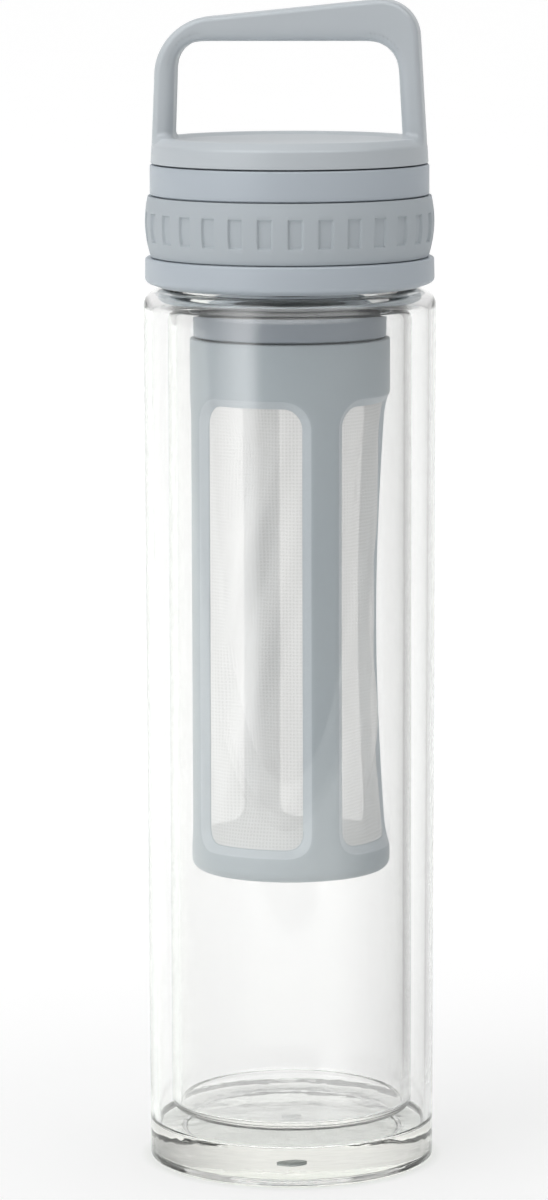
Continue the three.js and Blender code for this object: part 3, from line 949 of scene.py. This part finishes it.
def mould_window():
    """One flat quarter of the basket's wall, with a tall round-cornered window and its sunk soft border."""
    half_width = math.pi * BASKET_RADIUS / WINDOWS
    border = PILLAR_WIDTH / 2 + WINDOW_BEVEL
    middle = (WINDOW_LOW + WINDOW_HIGH) / 2
    spread_x = half_width - border - WINDOW_CORNER
    spread_z = (WINDOW_HIGH - WINDOW_LOW) / 2 - WINDOW_CORNER
    corner_sides = 36
    half_side = math.pi / corner_sides
    outermost = WINDOW_CORNER + border
    sunk_edge = WINDOW_CORNER + WINDOW_BEVEL
    # From the wall's inner side through the window to its outer side: radius of the corners, and depth
    rings = [
        (outermost, BASKET_WALL),
        (WINDOW_CORNER, BASKET_WALL),
        (WINDOW_CORNER, WINDOW_BEVEL_DEPTH + 0.16),
        (WINDOW_CORNER + 0.06, WINDOW_BEVEL_DEPTH + 0.05),
        (WINDOW_CORNER + 0.2, WINDOW_BEVEL_DEPTH - 0.05),
        (WINDOW_CORNER + 0.4, WINDOW_BEVEL_DEPTH - 0.24),
        (sunk_edge - 0.95, 0.5),
        (sunk_edge - 0.75, 0.32),
        (sunk_edge - 0.45, 0.16),
        (sunk_edge - 0.1, 0.06),
        (sunk_edge + 0.3, 0.015),
        (sunk_edge + 0.8, 0),
        (outermost, 0),
    ]
    deselect()
    bpy.ops.mesh.primitive_circle_add(
        vertices=corner_sides,
        radius=outermost / math.cos(half_side) * MM,
        rotation=(math.pi / 2, half_side, 0),
    )
    bpy.ops.object.transform_apply()
    wall = bpy.context.object
    enter_edit()
    move(y=BASKET_WALL)
    for (here, here_depth), (there, there_depth) in zip(rings, rings[1:]):
        step = (there_depth - here_depth) * MM
        bpy.ops.mesh.extrude_region_move(TRANSFORM_OT_translate={"value": (0, step, 0)})
        grow = there / here
        bpy.ops.transform.resize(value=(grow, 1, grow), center_override=(0, 0, 0))
    leave_edit()
    # The lower corners are squarer than a circle's
    for vertex in wall.data.vertices:
        flat = vertex.co.xz
        if flat.y < 0:
            across, down = flat.normalized()
            flat *= (abs(across) ** LOWER_CORNER + abs(down) ** LOWER_CORNER) ** (-1 / LOWER_CORNER)
            vertex.co.xz = flat
    enter_edit()
    for side in (1, -1):
        pick("VERT", lambda at, _: at.x * side > 0)
        move(x=side * spread_x)
        pick("VERT", lambda at, _: at.z * side > 0)
        move(z=side * spread_z)
    reach = outermost + spread_z
    edge_of_arc = spread_z - 0.01
    for side, level in ((1, BASKET_TOP - BASKET_RIM_ROUND), (-1, BASKET_BOTTOM + BASKET_CORNER)):

        def on_boundary(at, edge):
            heights = [vertex.co.z / MM * side for vertex in edge.verts]
            return edge.is_boundary and min(heights) > edge_of_arc

        pick("EDGE", on_boundary)
        bpy.ops.mesh.extrude_region_move(TRANSFORM_OT_translate={"value": (0, 0, side * reach * MM)})
        flat = (0, 0, (level - middle) * MM)
        bpy.ops.transform.resize(value=(1, 1, 0), center_override=flat)
    return wall, half_width, middle


def mould_basket():
    """The infuser basket: a thin wall with four windows, a rounded rim and a thread, on an open cup."""
    wall, half_width, middle = mould_window()
    columns = round(2 * half_width)
    for step in range(1, columns):
        cut_across((1, 0, 0), half_width * (2 * step / columns - 1))
    rows = 26
    for step in range(1, rows):
        cut_across((0, 0, 1), BASKET_BOTTOM + (BASKET_TOP - BASKET_BOTTOM) * step / rows - middle)
    select_whole()
    move(z=middle)
    leave_edit()
    # The thin border faces are marked here, to be painted paler as painted light
    thin_edge = wall.data.attributes.new("thin_edge", "BOOLEAN", "FACE")
    for face, thin in zip(wall.data.polygons, thin_edge.data):
        thin.value = THIN_FROM < face.center.y / MM < WINDOW_BEVEL_DEPTH
    roll_up(wall, BASKET_RADIUS, QUARTER, FIRST_PILLAR - QUARTER / 2)
    enter_edit()
    select_whole()
    bpy.ops.mesh.spin(
        steps=WINDOWS - 1,
        dupli=True,
        angle=2 * math.pi - QUARTER,
        center=(0, 0, 0),
        axis=(0, 0, 1),
    )
    select_whole()
    bpy.ops.mesh.remove_doubles(threshold=0.01 * MM)
    inside = BASKET_RADIUS - BASKET_WALL
    between = BASKET_RADIUS - BASKET_WALL / 2
    floor_top = BASKET_BOTTOM + BASKET_FLOOR
    rim = rounded(
        [
            (BASKET_RADIUS, BASKET_TOP - BASKET_CORNER),
            (BASKET_RADIUS, BASKET_TOP, BASKET_RIM_ROUND),
            (inside, BASKET_TOP, BASKET_RIM_ROUND),
            (inside, BASKET_TOP - BASKET_CORNER),
        ]
    )[1:-2]
    cup = rounded(
        [
            (BASKET_RADIUS, BASKET_BOTTOM + 2 * BASKET_CORNER),
            (BASKET_RADIUS, BASKET_BOTTOM, BASKET_CORNER),
            (BASKET_FLOOR_BORE, BASKET_BOTTOM, 0.4),
            (BASKET_FLOOR_BORE, floor_top, 0.4),
            (inside, floor_top, BASKET_CORNER - BASKET_FLOOR),
            (inside, BASKET_BOTTOM + 2 * BASKET_CORNER),
        ]
    )[1:-2]
    for profile in (rim, cup):
        level = profile[0].y

        def on_edge(at, edge):
            return edge.is_boundary and abs(at.z - level) < 0.05 and at.xy.length > between

        pick("EDGE", on_edge)
        for here, there in zip(profile, profile[1:]):
            extrude_to(here.x, here.y, there.x, there.y)
        pick("EDGE", lambda at, edge: edge.is_boundary and abs(at.z - level) < 1 and at.xy.length < between)
        bpy.ops.mesh.bridge_edge_loops()
    face_outwards()
    leave_edit()
    bow_inwards(wall)
    basket = settle("basket_cage", 40)
    half_pitch = BASKET_THREAD["pitch"] / 2
    thread = thread_ridge("basket_thread", BASKET_THREAD, inside, -1, SPIGOT_THREAD_START + half_pitch)
    return join(basket, thread)


def lay_weave(piece, width, length):
    """Spreads a sheet's weave over it in millimetres."""
    for corner in piece.data.uv_layers.active.data:
        corner.uv = (corner.uv.x * width, corner.uv.y * length)


def stretch_panel(number):
    """One window's mesh: held in the frame all round, slack in the middle, with soft creases of its own."""
    radius = BASKET_RADIUS - MESH_INSET
    width = 2 * (math.pi * BASKET_RADIUS / WINDOWS - PILLAR_WIDTH / 2 - WINDOW_BEVEL + MESH_HEM)
    width *= radius / BASKET_RADIUS
    low = WINDOW_LOW - MESH_HEM
    high = WINDOW_HIGH + MESH_HEM
    length = high - low
    deselect()
    bpy.ops.mesh.primitive_grid_add(
        x_subdivisions=56,
        y_subdivisions=170,
        size=MM,
        location=(0, 0, (low + high) / 2 * MM),
        rotation=(math.pi / 2, 0, 0),
    )
    bpy.context.object.scale = (width, length, 1)
    bpy.ops.object.transform_apply()
    panel = bpy.context.object
    lay_weave(panel, width, length)
    for vertex in panel.data.vertices:
        across = vertex.co.x / MM / (width / 2)
        up = (vertex.co.z / MM - low) / length
        from_end = max(0, min(up, 1 - up) - MESH_HELD_END)
        free = max(0, 1 - (across / MESH_HELD_SIDE) ** 2) * min(1, from_end * MESH_END_SLOPE)
        slack = MESH_SAG * (0.7 + 0.3 * math.sin(2.1 * up * math.pi + number))
        crease = 0
        for depth, waves_across, waves_up, shift in MESH_CREASES:
            crease += depth * math.sin(waves_across * across + waves_up * up + shift * number)
        vertex.co.y += free * (slack + crease) * MM
    roll_up(panel, radius, width / radius, FIRST_PILLAR - QUARTER / 2 + number * QUARTER)
    bow_inwards(panel)
    return settle(f"mesh_window_{number + 1}", 180), width, length


def stretch_floor():
    """The round of mesh in the basket's floor, held in the cup all round."""
    radius = radius_of("floor_mesh")
    level = (bottom_of("floor_mesh") + top_of("floor_mesh")) / 2
    deselect()
    bpy.ops.mesh.primitive_circle_add(
        vertices=96, radius=radius * MM, fill_type="NGON", location=(0, 0, level * MM)
    )
    floor = bpy.context.object
    enter_edit()
    rings = 6
    ring_depth = 0.05
    for _ in range(rings):
        bpy.ops.mesh.inset(thickness=radius / (rings + 1) * MM, depth=-ring_depth * MM)
    leave_edit()
    lay_weave(floor, 2 * radius, 2 * radius)
    return settle("mesh_floor", 180), radius


# The finished object

# Polypropylene, injection moulded: a cool grey satin skin
lid_plastic = moulded_skin("moulded_polypropylene", "#ACB4BB", "#A7AFB7", 0.42, 0.5, 0.015)
# Polypropylene, injection moulded: the cap's lighter batch of the same grey
cap_plastic = moulded_skin("moulded_cap_polypropylene", "#B6BCC0", "#B1B7BC", 0.4, 0.5, 0.015)
# Polypropylene, injection moulded: the filter holder, a little glossier, its grey painted darker as painted
# shade for the dim space under the collar
shaded_holder_plastic = moulded_skin("moulded_holder_polypropylene_painted_shade", "#939BA3", "#8E969E", 0.36, 0.5, 0.012)
# Polypropylene, dull: the holder's sleeve, painted nearly black as a painted shadow for the dark space inside
# the neck
sleeve_shade_plastic = moulded_skin("painted_shade_sleeve_polypropylene", "#3E4344", "#373C3D", 0.7, 0.4, 0.03)
# Silicone rubber, pressed in a mould: nearly the lid's grey, and quite matt
grip_silicone = moulded_skin("pressed_silicone_rubber", "#A9B0B5", "#A4ABB0", 0.6, 0.4, 0.02)
# Polypropylene, injection moulded: nearly the lid's grey, a little glossier
basket_plastic = moulded_skin("moulded_basket_polypropylene", "#AAB3B8", "#A4AEB4", 0.38, 0.6, 0.012)
# The same plastic where it thins out round the windows, painted paler as painted light for the light that
# comes through it
thin_lit_plastic = moulded_skin("thin_basket_polypropylene_painted_light", "#BBC3C8", "#B6BEC4", 0.38, 0.6, 0.012)
# Silicone rubber, pressed and left without pigment: a cloudy white
seal_silicone = moulded_skin("pressed_clear_silicone", "#DADDDC", "#D2D6D5", 0.5, 0.4, 0.02, 0.3)
# Sealant, poured and set: a smooth dull grey
port_sealant = moulded_skin("poured_grey_sealant", "#8D9292", "#868C8C", 0.45, 0.4, 0.02)
flask_glass = blown_glass()
filter_nylon = woven_nylon()


def dress(piece, material, slot, body, *nodes):
    """Gives a piece its material, and says which body it rides on and which CAD nodes it stands for."""
    piece.data.materials.clear()
    piece.data.materials.append(material)
    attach(piece, body)
    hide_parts(*nodes)


dress(blow_flask(), flask_glass, "glass", "flask", "outer_glass_shell", "inner_glass_liner")
dress(mould_port_seal(), port_sealant, "port_seal", "flask", "port_seal_disc")
dress(mould_collar(), lid_plastic, "lid_plastic", "collar", "collar_body")
dress(mould_grip(), grip_silicone, "grip_silicone", "collar", "grip_band")
# The holder wears painted shade: a darker grey all over, and a near-black sleeve above the flange
holder = mould_holder()
dress(holder, shaded_holder_plastic, "lid_plastic", "collar", "filter_holder")
# Above the flange the sleeve is painted near black, a painted shadow for the collar's shade inside the neck
holder.data.materials.append(sleeve_shade_plastic)
sleeve_shade_low = HOLDER_BOTTOM + SPIGOT_LENGTH + FLANGE_HEIGHT + SLEEVE_SHADE_EDGE
for face in holder.data.polygons:
    if face.center.z / MM > sleeve_shade_low:
        face.material_index = 1
dress(mould_cap(), cap_plastic, "lid_plastic", "cap", "cap_with_handle")
dress(mould_plug(), lid_plastic, "lid_plastic", "cap", "cap_plug")
basket = mould_basket()
dress(basket, basket_plastic, "basket_plastic", "basket", "basket_frame")
# The window borders take the paler, painted-light material
basket.data.materials.append(thin_lit_plastic)
for face, thin in zip(basket.data.polygons, basket.data.attributes["thin_edge"].data):
    face.material_index = int(thin.value)
for window in range(WINDOWS):
    panel, panel_width, panel_length = stretch_panel(window)
    dress(panel, filter_nylon, "filter_mesh", "basket", f"mesh_panel_{window + 1}")
floor_round, floor_radius = stretch_floor()
dress(floor_round, filter_nylon, "filter_mesh", "basket_floor", "floor_mesh")
for hidden_seal in ("rim_gasket", "cap_seal_ring"):
    seal = bpy.data.objects[hidden_seal]
    seal.data.materials.clear()
    seal.data.materials.append(seal_silicone)

# Floor, light and camera

def painted_floor():
    """Matt paint, rolled on: a pale floor with hardly any clouds, which glows to white far from the flask."""
    material, tree = new_material("painted_studio_floor")
    place = add_node(tree, "TexCoord")
    paint = add_node(tree, "TexNoise", {"Vector": place.outputs["Object"], "Scale": 6.0, "Detail": 2.0})
    tone = add_node(
        tree,
        "Mix",
        {0: paint.outputs[0], 6: to_linear("#F6F6F6"), 7: to_linear("#F4F4F4")},
        data_type="RGBA",
    )
    away = add_node(tree, "VectorMath", {0: place.outputs["Object"]}, operation="LENGTH")
    # Under the thick foot less light comes down to the floor
    lit = add_node(
        tree,
        "MapRange",
        {"Value": away.outputs["Value"], "From Min": FOOT_SHADE_FADE[0], "From Max": FOOT_SHADE_FADE[1]},
    )
    shaded = add_node(
        tree, "Mix", {0: lit.outputs[0], 6: to_linear("#DDE0DC"), 7: tone.outputs[2]}, data_type="RGBA"
    )
    path = add_node(tree, "LightPath")
    image = add_node(tree, "Math", {0: path.outputs["Glossy Depth"], 1: 1.0}, operation="MINIMUM")
    # Mirrored in the glass, the floor is a duller table
    colour = add_node(
        tree,
        "Mix",
        {0: image.outputs[0], 6: shaded.outputs[2], 7: to_linear("#C7C9C7")},
        data_type="RGBA",
    )
    matt = add_node(tree, "BsdfDiffuse", {"Color": colour.outputs[2]})
    mirrored = add_node(
        tree,
        "Math",
        {0: path.outputs["Is Glossy Ray"], 1: path.outputs["Is Transmission Ray"]},
        operation="MAXIMUM",
    )
    seen = add_node(
        tree, "Math", {0: path.outputs["Is Camera Ray"], 1: mirrored.outputs[0]}, operation="MAXIMUM"
    )
    far = add_node(
        tree,
        "MapRange",
        {
            "Value": away.outputs["Value"],
            "From Min": FLOOR_GLOW_FADE[0],
            "From Max": FLOOR_GLOW_FADE[1],
            "To Min": FLOOR_NEAR_GLOW,
            "To Max": FLOOR_GLOW,
        },
    )
    straight = add_node(
        tree,
        "MapRange",
        {"Value": path.outputs["Glossy Depth"], "To Min": 1.0, "To Max": FLOOR_MIRRORED_GLOW},
    )
    level = add_node(tree, "Math", {0: straight.outputs[0], 1: far.outputs[0]}, operation="MULTIPLY")
    lift = add_node(tree, "Math", {0: seen.outputs[0], 1: level.outputs[0]}, operation="MULTIPLY")
    white = add_node(tree, "Emission", {"Color": to_linear("#FFFFFF"), "Strength": lift.outputs[0]})
    both = add_node(tree, "AddShader", {0: matt.outputs[0], 1: white.outputs[0]})
    # Mirrored in the glass, this table has a straight front edge, and gives way to a dim room on the right
    axes = add_node(tree, "SeparateXYZ", {0: place.outputs["Object"]})
    front = add_node(tree, "Math", {0: axes.outputs["Y"], 1: TABLE_FRONT}, operation="LESS_THAN")
    aim = add_node(tree, "VectorMath", {0: place.outputs["Object"]}, operation="NORMALIZE")
    side = add_node(
        tree, "VectorMath", {0: aim.outputs["Vector"], 1: DIM_SIDE}, operation="DOT_PRODUCT"
    )
    right = add_node(
        tree,
        "MapRange",
        {"Value": side.outputs["Value"], "From Min": DIM_SIDE_FADE[0], "From Max": DIM_SIDE_FADE[1]},
    )
    out = add_node(
        tree,
        "MapRange",
        {"Value": away.outputs["Value"], "From Min": DIM_OUT_FADE[0], "From Max": DIM_OUT_FADE[1]},
    )
    dim = add_node(tree, "Math", {0: right.outputs[0], 1: out.outputs[0]}, operation="MULTIPLY")
    end = add_node(tree, "Math", {0: front.outputs[0], 1: dim.outputs[0]}, operation="MAXIMUM")
    gone = add_node(
        tree,
        "Math",
        {0: end.outputs[0], 1: path.outputs["Glossy Depth"]},
        operation="MULTIPLY",
        use_clamp=True,
    )
    clear = add_node(tree, "BsdfTransparent", {"Color": to_linear("#FFFFFF")})
    whole = add_node(tree, "MixShader", {0: gone.outputs[0], 1: both.outputs[0], 2: clear.outputs[0]})
    add_node(tree, "OutputMaterial", {"Surface": whole.outputs[0]})
    return material


def studio_room():
    """The light from all round, which is also what the glass shows of the room."""
    studio = bpy.data.worlds.new("studio")
    studio.use_nodes = True
    tree = studio.node_tree
    tree.nodes.clear()
    path = add_node(tree, "LightPath")
    # Through the glass the room is white. Mirrored, it has a softbox on the left and one overhead,
    # a dim front and right side, and a pale back.
    place = add_node(tree, "TexCoord")
    bearing = add_node(
        tree, "TexGradient", {"Vector": place.outputs["Generated"]}, gradient_type="RADIAL"
    )
    ramp = add_node(tree, "ValToRGB", {"Fac": bearing.outputs["Fac"]})
    for stop in range(2, len(ROOM_ROUND)):
        ramp.color_ramp.elements.new(stop / len(ROOM_ROUND))
    for element, (angle, glow) in zip(ramp.color_ramp.elements, ROOM_ROUND):
        element.position = (angle + 90) / 360
        element.color = (glow, glow, glow, 1)
    axes = add_node(tree, "SeparateXYZ", {0: place.outputs["Generated"]})
    rise = add_node(
        tree,
        "MapRange",
        {"Value": axes.outputs["Z"], "From Min": TOP_BOX_LOW_FADE[0], "From Max": TOP_BOX_LOW_FADE[1]},
    )
    fall = add_node(
        tree,
        "MapRange",
        {
            "Value": axes.outputs["Z"],
            "From Min": TOP_BOX_HIGH_FADE[0],
            "From Max": TOP_BOX_HIGH_FADE[1],
            "To Min": 1.0,
            "To Max": 0.0,
        },
    )
    front = add_node(
        tree,
        "MapRange",
        {
            "Value": axes.outputs["Y"],
            "From Min": TOP_BOX_BACK_FADE[0],
            "From Max": TOP_BOX_BACK_FADE[1],
            "To Min": TOP_BOX_GLOW,
            "To Max": 0.0,
        },
    )
    band = add_node(tree, "Math", {0: rise.outputs[0], 1: fall.outputs[0]}, operation="MULTIPLY")
    room = add_node(
        tree,
        "Math",
        {0: band.outputs[0], 1: front.outputs[0], 2: ramp.outputs["Color"]},
        operation="MULTIPLY_ADD",
    )
    passed = add_node(
        tree,
        "Math",
        {0: path.outputs["Is Camera Ray"], 1: path.outputs["Is Transmission Ray"]},
        operation="MAXIMUM",
    )
    white = add_node(tree, "Background", {"Color": to_linear("#FFFFFF"), "Strength": 1.0})
    mirrored = add_node(
        tree, "Background", {"Color": to_linear("#FFFFFF"), "Strength": room.outputs[0]}
    )
    light = add_node(tree, "Background", {"Color": to_linear("#FFFFFF"), "Strength": ROOM_LIGHT})
    diffuse = add_node(
        tree, "MixShader", {0: passed.outputs[0], 1: light.outputs[0], 2: white.outputs[0]}
    )
    bounced = add_node(tree, "Math", {0: path.outputs["Glossy Depth"], 1: 1.0}, operation="MINIMUM")
    both = add_node(
        tree, "MixShader", {0: bounced.outputs[0], 1: diffuse.outputs[0], 2: mirrored.outputs[0]}
    )
    add_node(tree, "OutputWorld", {"Surface": both.outputs[0]})
    return studio


deselect()
# The floor lies just under the foot, so that the two don't flicker
bpy.ops.mesh.primitive_plane_add(size=FLOOR_SIZE, location=(0, 0, -0.05 * MM))
studio_floor = bpy.context.object
studio_floor.name = "studio_floor"
studio_floor.data.materials.append(painted_floor())
bpy.context.scene.world = studio_room()

# The softbox on the left only lights the object: its mirror image is the room's
softbox_data = bpy.data.lights.new("softbox_left", "AREA")
softbox_data.shape = "RECTANGLE"
softbox_data.size, softbox_data.size_y = KEY_SIZE
softbox_data.energy = KEY_GLOW * math.pi * KEY_SIZE[0] * KEY_SIZE[1]
softbox = bpy.data.objects.new("softbox_left", softbox_data)
softbox.location = KEY_PLACE
softbox.rotation_euler = (KEY_TARGET - KEY_PLACE).to_track_quat("-Z", "Y").to_euler()
softbox.visible_camera = False
softbox.visible_glossy = False
softbox.visible_transmission = False
bpy.context.collection.objects.link(softbox)
ceiling_data = bpy.data.lights.new("ceiling_light", "SUN")
ceiling_data.energy = TOP_LIGHT
ceiling_data.angle = TOP_LIGHT_SPREAD
ceiling_light = bpy.data.objects.new("ceiling_light", ceiling_data)
bpy.context.collection.objects.link(ceiling_light)

turn = math.radians(CAMERA_TURN)
tilt = math.radians(CAMERA_TILT)
camera_data = bpy.data.cameras.new("camera")
camera_data.sensor_width = 36
camera_data.lens = CAMERA_LENS
camera_data.clip_end = 200
camera = bpy.data.objects.new("camera", camera_data)
camera.location = Vector(
    (
        CAMERA_DISTANCE * math.sin(turn) + CAMERA_ASIDE * math.cos(turn),
        -CAMERA_DISTANCE * math.cos(turn) + CAMERA_ASIDE * math.sin(turn),
        CAMERA_HEIGHT,
    )
) * MM
camera.rotation_euler = (math.pi / 2 - tilt, 0, turn)
camera.rotation_euler.rotate_axis("Z", math.radians(CAMERA_ROLL))
bpy.context.collection.objects.link(camera)
bpy.context.scene.camera = camera
bpy.context.scene.view_settings.view_transform = "Standard"
